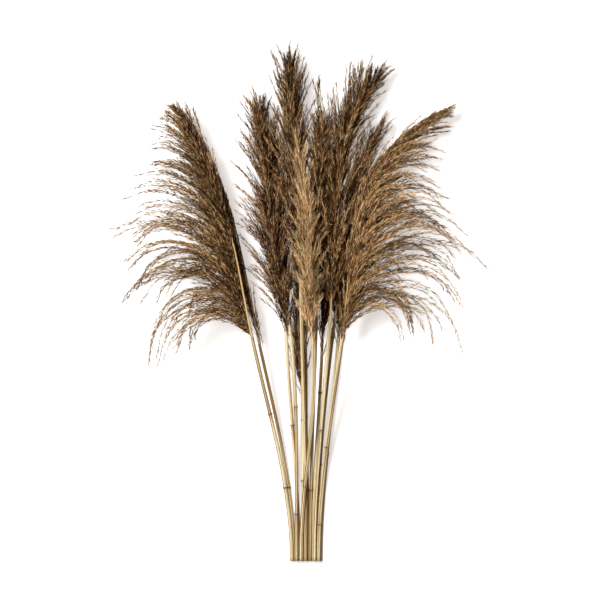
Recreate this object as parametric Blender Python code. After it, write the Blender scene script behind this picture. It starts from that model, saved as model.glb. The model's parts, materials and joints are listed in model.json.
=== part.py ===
"""Bundle of dried bamboo grass: fourteen cut reeds that lie loosely together on a surface.

Each reed is two nodes. The culm is a straw-coloured jointed cane, cut straight at its lower end.
The plume is a slim central stalk with arching side branches fused into it.

Frame: +Z up, the cane ends towards -Y, the plume tips towards +Y, the surface at z = 0.
"""

import math
from typing import NamedTuple

import bmesh
import bpy
import numpy as np
from mathutils import Vector

MM = 0.001

# Layout of the bundle, in millimetres
CUT_Y = -366.0
STATION_STEP = 8.0
STATIONS_PER_RING = 4
CULM_GAP = 0.35
STALK_CLEARANCE = 5.0
MEETING_GAP = 0.3
RIM_RUN = 8.0
FLAT_RUN = 70.0
LOOSE_RUN = 40.0

# The rounds that push the canes apart
ROUNDS = 500
LAST_ROUNDS = 60
CALM = 0.45
LAST_CALM = 0.06
SIDE_SHARE = 0.6
CROSSING_HEIGHT = 0.2
LEAST_DISTANCE = 0.1

# Sections of canes, stalks and branches, in millimetres
JOINT_SWELL = 0.55
JOINT_HALF_LENGTH = 4.0
JOINT_REACH = 14.0
RIM_SHARE = 0.95
STALK_SHARE = 0.9
STALK_TIP_RADIUS = 0.9
WHORL_LENGTH = 3.2
BRANCH_BELLY_RADIUS = 1.75
BRANCH_SHOULDER_RADIUS = 1.35
BRANCH_ROOT_RADIUS = 1.35
LONG_BRANCH = 100.0
BRANCH_GAP = 0.45
TWIN_GAP = 0.15
FLOOR_GAP = 0.25

# The rule that places the branches
WHORL_TURN = 47.0
ONE_SIDE_TURN = 60.0
SIDED_TURN = 13.0
FAN_LIFTS = (6.0, 20.0, 34.0)
LIFT_JITTER = (5.0, 14.0)
HEADING_JITTER = (0.25, 0.7)
ARCH_JITTER = (0.85, 1.15)
ROOT_SHARE = 0.4
STALK_FLATNESS = 0.75
WIDEST_TURN = 42.0
LEAST_RISE = 0.21
FIRST_WHORL = 0.05
LAST_WHORL = 0.975
LENGTH_SHARES = ((0.88, 1.05), (0.50, 0.78))
LOW_SHARE = 0.87
FULL_FROM = 0.22
TIP_SHARE = 0.09
BEND_POWER = 1.35
LOW_OPENING = 20.0
LOW_OPENING_UNTIL = 0.4
LOOSE_SHORTENING = 0.45
TRIES = 30
SEED = 71

WELD = 0.00005


class Reed(NamedTuple):
    """One reed: its cane and its plume. Lengths in millimetres, angles in degrees."""

    number: int
    spine: tuple          # four points of the plume's stalk, base to tip
    cut_x: float          # the cane's cut end
    cut_z: float
    radius: float         # of the cane
    joints: tuple         # y of each swollen joint
    branches: int
    reach: float          # length of the longest branch
    side: float           # -1 all branches left, 0 even, 1 all right
    opening: float        # angle of a branch to the stalk at its root
    arch_low: float       # how far the lowest branches turn over
    arch_top: float       # how far the topmost ones turn over
    depth: float          # height of the plume against its width
    sag: float            # drop of a branch's tip against its length
    taper: float          # how soon the branches get shorter towards the tip, from 0.5
    colour: str


REEDS = (
    Reed(1, ((-67, -50, 52), (-86, 48, 64), (-114, 156, 60), (-166, 266, 38)), -11.5, 5.5, 2.7,
         (-158, -262), 98, 214, -0.88, 21, 132, 72, 0.50, 0.25, 0.65, "golden"),
    Reed(2, ((-57, -60, 30), (-76, 38, 31), (-103, 145, 27), (-152, 248, 20)), -7.7, 0.0, 2.4,
         (-262,), 45, 112, -0.5, 20, 40, 24, 0.45, 0.10, 0.5, "brown"),
    Reed(3, ((-20, -34, 19), (-26, 66, 17), (-34, 158, 16), (-43, 246, 16)), -1.7, 0.0, 2.5,
         (-175,), 36, 96, -0.2, 19, 22, 14, 0.45, 0.03, 0.5, "dark"),
    Reed(4, ((-15, -34, 40), (-30, 68, 42), (-47, 171, 37), (-63, 274, 30)), -4.9, 5.5, 2.6,
         (-148, -300), 66, 118, -0.25, 19, 26, 15, 0.60, 0.05, 0.5, "dark"),
    Reed(5, ((8, -46, 19), (16, 50, 19), (26, 155, 18), (35, 253, 18)), 10.4, 0.0, 2.4,
         (-162,), 36, 92, 0.0, 19, 22, 14, 0.45, 0.03, 0.5, "dark"),
    Reed(6, ((18, -59, 64), (13, 38, 74), (8, 135, 70), (-6, 234, 58)), 1.6, 5.5, 2.8,
         (-70, -260), 60, 64, -0.1, 20, 14, 8, 0.75, 0.03, 0.5, "golden"),
    Reed(7, ((3, -134, 14), (-2, -50, 16), (-5, 40, 16), (-5, 127, 16)), 4.2, 0.0, 2.5,
         (-168, -253), 33, 76, 0.0, 11, 12, 10, 0.45, 0.02, 0.5, "brown"),
    Reed(8, ((1, 13, 42), (-3, 122, 46), (-9, 232, 41), (-16, 342, 32)), 8.0, 5.5, 2.8,
         (-253,), 66, 106, 0.0, 18, 24, 12, 0.65, 0.04, 0.5, "brown"),
    Reed(9, ((24, 55, 62), (25, 137, 60), (26, 219, 53), (25, 302, 44)), 14.0, 5.5, 2.3,
         (-39, -266), 36, 54, 0.1, 20, 14, 8, 0.70, 0.03, 0.5, "golden"),
    Reed(10, ((31, -62, 19), (35, 30, 19), (41, 120, 18), (49, 211, 18)), 16.8, 0.0, 2.4,
         (-129,), 36, 92, 0.1, 19, 22, 14, 0.45, 0.03, 0.5, "dark"),
    Reed(11, ((42, -29, 43), (47, 88, 48), (61, 208, 43), (108, 316, 32)), 20.2, 5.5, 2.8,
         (-181,), 66, 112, 0.1, 18, 24, 14, 0.62, 0.04, 0.5, "golden"),
    Reed(12, ((49, -24, 28), (63, 68, 30), (86, 160, 28), (124, 246, 24)), 23.0, 0.0, 2.6,
         (-50, -230), 48, 106, 0.3, 19, 26, 16, 0.50, 0.05, 0.5, "dark"),
    Reed(13, ((54, -49, 15), (62, 30, 15), (76, 112, 15), (96, 192, 15)), 29.0, 0.0, 2.5,
         (-215,), 33, 92, 0.4, 19, 26, 16, 0.45, 0.03, 0.5, "brown"),
    Reed(14, ((59, -51, 54), (72, 72, 66), (105, 176, 60), (204, 266, 38)), 26.0, 5.5, 3.0,
         (-205, -315), 96, 228, 0.88, 21, 138, 76, 0.50, 0.24, 0.85, "golden"),
)

COLOURS = {
    "straw": ((0.72, 0.53, 0.28, 1.0), 0.55),
    "golden": ((0.40, 0.23, 0.10, 1.0), 0.80),
    "brown": ((0.23, 0.12, 0.06, 1.0), 0.85),
    "dark": ((0.13, 0.065, 0.035, 1.0), 0.85),
}


def clear_scene():
    """Take out what the scene holds at the start."""
    for item in list(bpy.data.objects):
        bpy.data.objects.remove(item, do_unlink=True)


def make_material(name):
    """A plain Principled material in one of the bundle's colours."""
    colour, roughness = COLOURS[name]
    material = bpy.data.materials.new(name)
    material.use_nodes = True
    shader = material.node_tree.nodes["Principled BSDF"]
    shader.inputs["Base Color"].default_value = colour
    shader.inputs["Roughness"].default_value = roughness
    shader.inputs["Metallic"].default_value = 0.0
    return material


def through_four(points, t):
    """The cubic curve through four evenly timed points, at each t from 0 to 1."""
    p = np.asarray(points, float)
    u = 3.0 * np.asarray(t, float)[..., None]
    return (-(u - 1) * (u - 2) * (u - 3) / 6 * p[0] + u * (u - 2) * (u - 3) / 2 * p[1]
            - u * (u - 1) * (u - 3) / 2 * p[2] + u * (u - 1) * (u - 2) / 6 * p[3])


def spine_frame(reed, t):
    """Place, direction, right and up of a plume's stalk at t."""
    step = 0.01
    here = through_four(reed.spine, np.array([t]))[0]
    ends = through_four(reed.spine, np.array([max(t - step, 0.0), min(t + step, 1.0)]))
    along = (ends[1] - ends[0]) / np.linalg.norm(ends[1] - ends[0])
    right = np.cross(along, (0.0, 0.0, 1.0))
    right /= np.linalg.norm(right)
    return here, along, right, np.cross(right, along)


def hermite(low, high, slope_low, slope_high, length, u):
    """The smooth curve between two values with a given slope at each end."""
    rise = u * u * (3 - 2 * u)
    return (low * (1 - rise) + high * rise + slope_low * length * u * (1 - u) ** 2
            - slope_high * length * u * u * (1 - u))


def cane_goals(y):
    """Where each cane and stalk would lie if nothing were in its way, at each station y.

    Returns side places, heights and radii, and which stations each cane and each stalk spans.
    """
    shape = (len(y), len(REEDS))
    x = np.zeros(shape)
    z = np.zeros(shape)
    radius = np.zeros(shape)
    cane = np.zeros(shape, bool)
    stalk = np.zeros(shape, bool)
    for i, reed in enumerate(REEDS):
        base = reed.spine[0]
        run = base[1] - CUT_Y
        _, along, _, _ = spine_frame(reed, 0.0)
        u = np.clip((y - CUT_Y) / run, 0, 1)
        x[:, i] = hermite(reed.cut_x, base[0], 0.0, along[0] / along[1], run, u)
        rise = np.clip((y - CUT_Y - FLAT_RUN) / (run - FLAT_RUN), 0, 1)
        z[:, i] = hermite(reed.cut_z, base[2], 0.0, along[2] / along[1], run - FLAT_RUN, rise)
        cane[:, i] = y <= base[1]
        stalk[:, i] = (y > base[1]) & (y < reed.spine[3][1])
        path = through_four(reed.spine, np.linspace(0, 1, 60))
        x[stalk[:, i], i] = np.interp(y[stalk[:, i]], path[:, 1], path[:, 0])
        z[stalk[:, i], i] = np.interp(y[stalk[:, i]], path[:, 1], path[:, 2])
        radius[:, i] = np.where(cane[:, i], reed.radius, STALK_CLEARANCE)
        for joint in reed.joints:
            swell = JOINT_SWELL * np.exp(-((y - joint) / JOINT_REACH) ** 2)
            radius[:, i] += np.where(cane[:, i], swell, 0)
    return x, z, radius, cane, stalk


def pushes(x, z, radius, present):
    """How far each disc is pushed aside and up by the discs that it would overlap."""
    push_x = np.zeros_like(x)
    push_z = np.zeros_like(z)
    for i in range(len(REEDS)):
        for j in range(i + 1, len(REEDS)):
            both = present[:, i] & present[:, j]
            dx = x[:, j] - x[:, i]
            dz = z[:, j] - z[:, i]
            apart = np.maximum(np.hypot(dx, dz), LEAST_DISTANCE)
            short = radius[:, i] + radius[:, j] + CULM_GAP - apart
            half = 0.5 * np.where(both, np.maximum(short, 0), 0)
            above = np.where(reed_order(i, j), 1.0, -1.0)
            lift = np.where(np.abs(dz) < CROSSING_HEIGHT, above, np.sign(dz))
            rise = 0.5 * half * (lift + dz / apart)
            aside = SIDE_SHARE * half * dx / apart
            push_z[:, j] += rise
            push_z[:, i] -= rise
            push_x[:, j] += aside
            push_x[:, i] -= aside
    return push_x, push_z


def lay_canes():
    """Side place and height of every cane at each station, pushed clear of each other.

    The canes are nearly parallel, so they are discs in the cross-section at a station. Discs that
    would overlap are moved apart, mostly in height, and the moves are smoothed along the canes.
    """
    y = np.arange(CUT_Y, max(reed.spine[3][1] for reed in REEDS), STATION_STEP)
    x_goal, z_goal, radius, cane, stalk = cane_goals(y)
    base_y = np.array([reed.spine[0][1] for reed in REEDS])
    loose = cane * np.clip((base_y - y[:, None]) / LOOSE_RUN, 0, 1)
    x = x_goal.copy()
    z = z_goal.copy()
    for turn in range(ROUNDS):
        push_x, push_z = pushes(x, z, radius, cane | stalk)
        x += push_x * loose
        z += push_z * loose
        calm = CALM if turn < ROUNDS - LAST_ROUNDS else LAST_CALM
        for value, goal in ((x, x_goal), (z, z_goal)):
            shift = value - goal
            shift[1:-1] += calm * (0.5 * (shift[:-2] + shift[2:]) - shift[1:-1]) * (loose[1:-1] > 0)
            value[:] = goal + shift * (loose > 0)
        z = np.where(cane, np.maximum(z, radius * math.cos(math.pi / 6)), z)
    return y, x, z


def reed_order(i, j):
    """Whether cane j lies above cane i where both cross."""
    return REEDS[j].spine[0][2] >= REEDS[i].spine[0][2]


def cane_points(index, layout):
    """Points and radii of a cane, from its cut end to where the plume starts."""
    reed = REEDS[index]
    y, x, z = layout
    base = np.array(reed.spine[0], float)
    _, along, _, _ = spine_frame(reed, 0.0)
    last = base[1] - 3 * RIM_RUN
    stops = [CUT_Y + STATION_STEP * STATIONS_PER_RING * k for k in range(40)]
    stops = [s for s in stops if s < last - STATION_STEP]
    rings = {}
    for place in stops:
        if all(abs(place - joint) > 3 * JOINT_HALF_LENGTH for joint in reed.joints):
            rings[place] = reed.radius
    for joint in reed.joints:
        rings[joint - JOINT_HALF_LENGTH] = reed.radius
        rings[joint] = reed.radius + JOINT_SWELL
        rings[joint + JOINT_HALF_LENGTH] = reed.radius
    rings[last] = reed.radius
    order = [place for place in sorted(rings) if place <= last]
    points = [(np.interp(p, y, x[:, index]), p, np.interp(p, y, z[:, index])) for p in order]
    radii = [rings[p] for p in order]
    points += [base - RIM_RUN * along, base - 0.5 * MEETING_GAP * along]
    radii += [reed.radius * RIM_SHARE, reed.radius * STALK_SHARE]
    return np.array(points, float), np.array(radii)


def tube(name, points, radii, turns, section, collection):
    """A tube along points in millimetres, with a radius and a turn at each, and welded caps."""
    curve = bpy.data.curves.new(name, "CURVE")
    curve.dimensions = "3D"
    curve.twist_mode = "Z_UP"
    if section is None:
        curve.bevel_depth = MM
        curve.bevel_resolution = 1
    else:
        curve.bevel_mode = "OBJECT"
        curve.bevel_object = section
    curve.use_fill_caps = True
    spline = curve.splines.new("POLY")
    spline.points.add(len(points) - 1)
    for slot, place, radius, turn in zip(spline.points, points, radii, turns):
        slot.co = (place[0] * MM, place[1] * MM, place[2] * MM, 1.0)
        slot.radius = radius
        slot.tilt = math.radians(turn)
    guide = bpy.data.objects.new(name + "_guide", curve)
    collection.objects.link(guide)
    bpy.context.view_layer.update()
    mesh = bpy.data.meshes.new_from_object(guide.evaluated_get(bpy.context.evaluated_depsgraph_get()))
    bpy.data.objects.remove(guide, do_unlink=True)
    bpy.data.curves.remove(curve)
    shell = bmesh.new()
    shell.from_mesh(mesh)
    bmesh.ops.remove_doubles(shell, verts=shell.verts, dist=WELD)
    bmesh.ops.recalc_face_normals(shell, faces=shell.faces)
    shell.to_mesh(mesh)
    shell.free()
    mesh.name = name
    item = bpy.data.objects.new(name, mesh)
    collection.objects.link(item)
    return item


def segment_gap(a0, a1, b0, b1):
    """Smallest distance between one segment and each of many others, and where it lies on both."""
    u = a1 - a0
    v = b1 - b0
    w = a0 - b0
    a = max(u @ u, 1e-9)
    b = v @ u
    c = np.maximum(np.einsum("ij,ij->i", v, v), 1e-9)
    d = w @ u
    e = np.einsum("ij,ij->i", v, w)
    lean = np.maximum(a * c - b * b, 1e-9)
    s = np.clip((b * e - c * d) / lean, 0, 1)
    t = np.clip((b * s + e) / c, 0, 1)
    s = np.clip((b * t - d) / a, 0, 1)
    return np.linalg.norm(w + s[:, None] * u - t[:, None] * v, axis=1), s, t


class Space:
    """The segments that are already taken, each with its end radii, its node and its whorl."""

    def __init__(self):
        self.start = np.zeros((0, 3))
        self.end = np.zeros((0, 3))
        self.thick = np.zeros((0, 2))
        self.owner = np.zeros((0, 3), int)

    def take(self, points, radii, node, whorl=-1):
        """Add a path whose section has the given radius at each point."""
        count = len(points) - 1
        owner = np.column_stack([np.full(count, node), np.full(count, whorl), np.arange(count)])
        self.start = np.vstack([self.start, points[:-1]])
        self.end = np.vstack([self.end, points[1:]])
        self.thick = np.vstack([self.thick, np.column_stack([radii[:-1], radii[1:]])])
        self.owner = np.vstack([self.owner, owner])

    def is_free(self, points, radii, node, whorl):
        """Whether a branch's path stays clear of all else; its first stretch may start at the stalk."""
        own = self.owner[:, 0] == node
        beside = (self.owner[:, 1] == whorl) & (self.owner[:, 2] == 0)
        stalk = own & (self.owner[:, 1] == -1)
        least = np.where(own, TWIN_GAP, BRANCH_GAP) - STALK_FLATNESS * np.where(stalk, self.thick[:, 0], 0)
        points = np.insert(points, 1, points[0] + ROOT_SHARE * (points[1] - points[0]), axis=0)
        radii = np.insert(radii, 1, radii[0] + ROOT_SHARE * (radii[1] - radii[0]))
        for k in range(len(points) - 1):
            gap, s, t = segment_gap(points[k], points[k + 1], self.start, self.end)
            gap -= radii[k] + s * (radii[k + 1] - radii[k])
            gap -= self.thick[:, 0] + t * (self.thick[:, 1] - self.thick[:, 0])
            short = gap < least
            if k == 0:
                short &= ~(stalk | (own & beside))
            if short.any():
                return False
        return True


def stalk_rings(reed):
    """Points, radii and turns of a plume's stalk: two rings a whorl, with a base and a tip."""
    count = whorl_count(reed)
    length = spine_length(reed)
    half = 0.5 * WHORL_LENGTH / length
    t = [0.0, RIM_RUN / length]
    turns = [0.0, 0.0]
    for k in range(count):
        middle = whorl_place(k, count)
        t += [middle - half, middle + half]
        turns += [whorl_turn(reed, k)] * 2
    t.append(1.0)
    turns.append(turns[-1])
    t = np.array(t)
    points = through_four(reed.spine, t)
    _, along, _, _ = spine_frame(reed, 0.0)
    points[0] += 0.5 * MEETING_GAP * along
    points[1] = points[0] + RIM_RUN * along
    return points, stalk_radius(reed, t), np.array(turns)


def is_one_sided(reed):
    """Whether all branches of the plume arch over to the same side."""
    return abs(reed.side) > 0.5


def whorl_count(reed):
    """How many whorls the stalk carries: two branches a whorl on a one-sided plume, or else three."""
    return math.ceil(reed.branches / (2 if is_one_sided(reed) else 3))


def whorl_place(k, count):
    """Where whorl k stands along the stalk, from 0 to 1."""
    return FIRST_WHORL + (LAST_WHORL - FIRST_WHORL) * (k + 0.5) / count


def whorl_turn(reed, k):
    """How far whorl k is turned round the stalk."""
    if is_one_sided(reed):
        return (ONE_SIDE_TURN if reed.side < 0 else 0.0) + SIDED_TURN * (-1) ** k
    return WHORL_TURN * k


def spine_length(reed):
    """Length of the stalk."""
    path = through_four(reed.spine, np.linspace(0, 1, 40))
    return np.linalg.norm(np.diff(path, axis=0), axis=1).sum()


def stalk_radius(reed, t):
    """Radius of the stalk at t."""
    return reed.radius * STALK_SHARE * (1 - t) + STALK_TIP_RADIUS * t


def branch_length(reed, t):
    """Length of a branch that leaves the stalk at t."""
    low = LOW_SHARE + (1 - LOW_SHARE) * min(1.0, t / FULL_FROM)
    full = max(0.0, 1 - t * t) ** reed.taper
    return reed.reach * low * (TIP_SHARE + (1 - TIP_SHARE) * full)


def branch_joints(reed, t):
    """How many straight stretches a branch at t has: more where it arches over and is long."""
    if not is_one_sided(reed):
        return 3
    return 5 if branch_length(reed, t) > LONG_BRANCH else 4


def branch_opening(reed, t):
    """Angle between the stalk and a branch at its root: the lowest on a one-sided plume stand out most."""
    opening = reed.opening * (1.1 - 0.4 * t)
    if is_one_sided(reed):
        opening += LOW_OPENING * max(0.0, 1 - t / LOW_OPENING_UNTIL)
    return opening


def branch_path(reed, t, root, outward, length, turn, joints):
    """Path of a branch from its root on the stalk: it opens out, arches over and sinks.

    It turns less near its root than near its tip, as its own weight bends it.
    """
    _, along, _, _ = spine_frame(reed, t)
    start = math.radians(branch_opening(reed, t))
    points = [root]
    for k in range(joints):
        bend = start + math.radians(turn) * ((k + 0.5) / joints) ** BEND_POWER
        heading = math.cos(bend) * along + math.sin(bend) * outward
        points.append(points[-1] + heading * length / joints)
    points = np.array(points)
    reach = np.linspace(0, 1, joints + 1)
    points[:, 2] -= reed.sag * length * reach ** 2
    return points


def branch_radii(joints):
    """Radius along a branch: a full belly between a slimmer root and a pointed tip."""
    knots = (0.0, 0.33, 0.72, 1.0)
    values = (BRANCH_ROOT_RADIUS, BRANCH_BELLY_RADIUS, BRANCH_SHOULDER_RADIUS, 0.0)
    return np.interp(np.linspace(0, 1, joints + 1), knots, values)


def jitter(draw, spread, loose):
    """A small chance turn, with a wider one added the looser the branch may be placed."""
    return draw.uniform(-spread[0], spread[0]) + draw.uniform(-spread[1], spread[1]) * loose


def branch_heading(reed, k, azimuth, up, right, loose, draw):
    """The way a branch stands out from the stalk, near the azimuth of the face it grows from."""
    if is_one_sided(reed):
        away = abs(math.degrees(math.asin(math.sin(azimuth))))
        lift = max(FAN_LIFTS[k % len(FAN_LIFTS)], away - WIDEST_TURN)
        lift += jitter(draw, LIFT_JITTER, loose)
        angle = math.radians(math.copysign(lift, math.sin(azimuth)))
        return math.copysign(1, reed.side) * math.cos(angle) * right + math.sin(angle) * up
    angle = azimuth + jitter(draw, HEADING_JITTER, loose)
    flat = reed.side + (1 - abs(reed.side)) * math.cos(angle)
    outward = flat * right + math.sin(angle) * reed.depth * up
    return outward / np.linalg.norm(outward)


def raise_branch(shell, face, path, radii):
    """Extrude a triangle of the stalk along a path, and close it in a point."""
    first = Vector(path[1] - path[0])
    corners = [vertex.co - face.calc_center_median() for vertex in face.verts]
    side = corners[0] - corners[0].project(first)
    across = first.normalized().cross(side.normalized())
    angles = [math.atan2(corner @ across, corner @ side.normalized()) for corner in corners]
    drift = [angle - 2 * math.pi * k / 3 for k, angle in enumerate(angles)]
    offset = math.atan2(sum(math.sin(d) for d in drift), sum(math.cos(d) for d in drift))
    side = side.normalized() * math.cos(offset) + across * math.sin(offset)
    for k in range(1, len(path) - 1):
        heading = Vector(path[k + 1] - path[k - 1]).normalized()
        side = (side - side.project(heading)).normalized()
        across = heading.cross(side)
        face = bmesh.ops.extrude_discrete_faces(shell, faces=[face])["faces"][0]
        for corner, vertex in enumerate(face.verts):
            turn = 2 * math.pi * corner / 3
            ray = side * math.cos(turn) + across * math.sin(turn)
            vertex.co = (Vector(path[k]) + ray * radii[k]) * MM
    tip = bmesh.ops.poke(shell, faces=[face])["verts"][0]
    tip.co = Vector(path[-1]) * MM


def whorl_faces(shell, reed, middle, along, right):
    """The stalk's faces that branches grow from in the whorl round a point."""
    def offset(face):
        """Place of a face against the whorl's middle, in millimetres."""
        return np.array(face.calc_center_median()) / MM - middle

    quads = [face for face in shell.faces if len(face.verts) == 4]
    quads.sort(key=lambda face: abs(offset(face) @ along) + np.linalg.norm(offset(face)))
    ring = sorted(quads[:3], key=lambda face: -(offset(face) @ right) * reed.side)
    return ring[:2] if is_one_sided(reed) else ring


def add_branches(stalk, reed, space, draw):
    """Raise a plume's branches out of its stalk's faces, each clear of all that is there."""
    shell = bmesh.new()
    shell.from_mesh(stalk.data)
    count = whorl_count(reed)
    for k in range(count):
        t = whorl_place(k, count)
        middle, along, right, up = spine_frame(reed, t)
        arch = reed.arch_low + (reed.arch_top - reed.arch_low) * t
        joints = branch_joints(reed, t)
        radii = branch_radii(joints)
        for face in whorl_faces(shell, reed, middle, along, right):
            root = np.array(face.calc_center_median()) / MM
            azimuth = math.atan2((root - middle) @ up, (root - middle) @ right)
            for attempt in range(TRIES):
                loose = attempt / TRIES
                outward = branch_heading(reed, k, azimuth, up, right, loose, draw)
                length = branch_length(reed, t) * draw.uniform(*LENGTH_SHARES[k % 2])
                length *= 1 - LOOSE_SHORTENING * loose
                turn = arch * draw.uniform(*ARCH_JITTER)
                path = branch_path(reed, t, root, outward, length, turn, joints)
                path[1:, 2] = np.maximum(path[1:, 2], radii[1:] + FLOOR_GAP)
                first = path[1] - path[0]
                rise = first @ (math.cos(azimuth) * right + math.sin(azimuth) * up)
                if rise < LEAST_RISE * np.linalg.norm(first):
                    continue
                if space.is_free(path, radii, reed.number, k):
                    space.take(path, radii, reed.number, k)
                    half = bmesh.ops.triangulate(shell, faces=[face])["faces"][0]
                    raise_branch(shell, half, path, radii)
                    break
    bmesh.ops.triangulate(shell, faces=shell.faces)
    shell.to_mesh(stalk.data)
    shell.free()


def three_sided_section():
    """The three-sided section of the stalks, with a radius of one millimetre."""
    curve = bpy.data.curves.new("stalk_section", "CURVE")
    curve.dimensions = "2D"
    ring = curve.splines.new("POLY")
    ring.points.add(2)
    for k, corner in enumerate(ring.points):
        turn = 2 * math.pi * k / 3
        corner.co = (MM * math.cos(turn), MM * math.sin(turn), 0, 1)
    ring.use_cyclic_u = True
    return bpy.data.objects.new("stalk_section", curve)


def centre_on_origin(items, base):
    """Move the bundle's base point so that the middle of its footprint is the origin."""
    corners = np.array([vertex.co[:] for item in items for vertex in item.data.vertices])
    low = corners.min(axis=0)
    high = corners.max(axis=0)
    base.location = Vector((-(low[0] + high[0]) / 2, -(low[1] + high[1]) / 2, -low[2]))


def build():
    """Model the whole bundle."""
    clear_scene()
    bundle = bpy.data.collections.new("dried_bamboo_grass")
    tools = bpy.data.collections.new("sections")
    bpy.context.scene.collection.children.link(bundle)
    bpy.context.scene.collection.children.link(tools)
    section = three_sided_section()
    tools.objects.link(section)
    section.hide_render = True
    section.display_type = "WIRE"
    base = bpy.data.objects.new("bundle_base", None)
    bundle.objects.link(base)
    paint = {name: make_material(name) for name in COLOURS}
    draw = np.random.default_rng(SEED)
    layout = lay_canes()
    space = Space()
    items = []
    for index, reed in enumerate(REEDS):
        points, radii = cane_points(index, layout)
        cane = tube(f"culm_{reed.number:02d}", points, radii, np.zeros(len(radii)), None, bundle)
        cane.data.materials.append(paint["straw"])
        space.take(points, radii, -reed.number)
        items.append(cane)
    for reed in REEDS:
        points, radii, _ = stalk_rings(reed)
        space.take(points, radii, reed.number)
    for reed in REEDS:
        points, radii, turns = stalk_rings(reed)
        stalk = tube(f"plume_{reed.number:02d}", points, radii, turns, section, bundle)
        add_branches(stalk, reed, space, draw)
        stalk.data.materials.append(paint[reed.colour])
        items.append(stalk)
    centre_on_origin(items, base)
    for item in items:
        item.parent = base
        item.data.shade_smooth()
        item.data.set_sharp_from_angle(angle=math.radians(40))


build()
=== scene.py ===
"""Looks of the bundle of dried bamboo grass: fourteen cut reeds that lie on a pale surface.

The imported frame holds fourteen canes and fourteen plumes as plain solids. Each cane's rings, and each
plume's stalk and side branches, are read from those solids. Finer pieces are laid along the same lines:
round jointed canes with hollow cut ends, slim stalks, and strands that are clothed with spikelets and
hairs. Lengths are in metres, with +Z up, the cane ends towards -Y and the plume tips towards +Y.
"""

import json
import logging
import math
from dataclasses import dataclass, field, replace
from enum import Enum

import bpy
import numpy as np
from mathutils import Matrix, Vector


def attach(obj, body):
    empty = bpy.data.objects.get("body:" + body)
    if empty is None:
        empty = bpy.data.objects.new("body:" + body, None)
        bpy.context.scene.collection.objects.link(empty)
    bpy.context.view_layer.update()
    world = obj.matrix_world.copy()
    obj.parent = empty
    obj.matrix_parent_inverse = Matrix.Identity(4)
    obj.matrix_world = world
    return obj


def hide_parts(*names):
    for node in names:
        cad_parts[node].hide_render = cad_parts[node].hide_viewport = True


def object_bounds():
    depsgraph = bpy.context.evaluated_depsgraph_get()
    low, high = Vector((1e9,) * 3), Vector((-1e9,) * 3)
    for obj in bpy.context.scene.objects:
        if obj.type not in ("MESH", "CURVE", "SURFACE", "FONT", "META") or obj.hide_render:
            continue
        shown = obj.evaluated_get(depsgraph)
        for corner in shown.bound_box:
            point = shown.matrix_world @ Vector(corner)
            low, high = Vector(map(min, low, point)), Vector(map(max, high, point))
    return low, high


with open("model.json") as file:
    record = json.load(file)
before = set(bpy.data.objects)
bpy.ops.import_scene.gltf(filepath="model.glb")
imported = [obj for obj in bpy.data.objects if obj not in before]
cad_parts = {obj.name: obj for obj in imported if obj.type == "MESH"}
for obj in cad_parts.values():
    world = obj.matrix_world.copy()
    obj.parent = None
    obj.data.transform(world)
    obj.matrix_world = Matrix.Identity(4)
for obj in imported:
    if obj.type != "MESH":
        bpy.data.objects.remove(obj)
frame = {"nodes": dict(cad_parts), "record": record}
cad_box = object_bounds()

log = logging.getLogger("dried_grass")

Array = np.ndarray
Colour = tuple[float, float, float]
Pair = tuple[float, float]
Draw = np.random.Generator
Item = bpy.types.Object
Material = bpy.types.Material
Node = bpy.types.Node
NodeTree = bpy.types.NodeTree
Socket = bpy.types.NodeSocket

MM = 0.001
WELD = 0.000002
GOLDEN_ANGLE = math.radians(137.5)
LOWEST = 0.25 * MM
SQUEEZE = 0.05 * MM
CAD_TOP = cad_box[1][2]
CALM_BELOW_TOP = 9 * MM
MOST_ABOVE_TOP = 1.5 * MM
FIRST_SEED = 100
GRAIN_WIDTH = 0.5
GRAIN_STEP = 7.3


class Slot(Enum):
    """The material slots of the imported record."""

    STRAW = "straw"
    GOLDEN = "golden"
    BROWN = "brown"
    DARK = "dark"


# Lines and places


def unit(rows: Array) -> Array:
    """Each row scaled to length one."""
    return rows / np.maximum(np.linalg.norm(rows, axis=-1, keepdims=True), 1e-12)


def crosswise(ahead: Array) -> tuple[Array, Array]:
    """Two directions at right angles to each direction given.

    Args:
        ahead: unit directions, one a row.

    Returns:
        A level direction and the one that completes the right angle, one of each a row.
    """
    steep = np.abs(ahead[:, 2:]) > 0.9
    guide = np.where(steep, (1.0, 0.0, 0.0), (0.0, 0.0, 1.0))
    level = unit(np.cross(ahead, guide))
    return level, np.cross(level, ahead)


def smooth_line(knots: Array, count: int) -> Array:
    """A smooth line through a few points.

    Args:
        knots: the points, one a row.
        count: how many points the line gets.

    Returns:
        The points of the line, evenly timed from the first knot to the last.
    """
    padded = np.vstack([2 * knots[0] - knots[1], knots, 2 * knots[-1] - knots[-2]])
    time = np.linspace(0, len(knots) - 1 - 1e-9, count)
    first = time.astype(int)
    part = (time - first)[:, None]
    a, b, c, d = (padded[first + step] for step in range(4))
    bend = (2 * a - 5 * b + 4 * c - d) * part**2
    return 0.5 * (2 * b + (c - a) * part + bend + (3 * b - a - 3 * c + d) * part**3)


def run_lengths(path: Array) -> Array:
    """How far along a path each of its points lies."""
    return np.concatenate([[0.0], np.cumsum(np.linalg.norm(np.diff(path, axis=0), axis=1))])


def settled(points: Array) -> Array:
    """Points eased into the bundle's height, so that none is under the surface or far over the top.

    Args:
        points: the points, one a row.

    Returns:
        The same points with their heights eased.
    """
    calm = CAD_TOP - CALM_BELOW_TOP
    room = CALM_BELOW_TOP + MOST_ABOVE_TOP
    over = np.maximum(points[:, 2] - calm, 0)
    height = np.minimum(points[:, 2], calm) + room * (1 - np.exp(-over / room))
    under = np.maximum(LOWEST - height, 0)
    height = np.maximum(height, LOWEST) - SQUEEZE * (1 - np.exp(-under / MM))
    return np.column_stack([points[:, :2], height])


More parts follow.
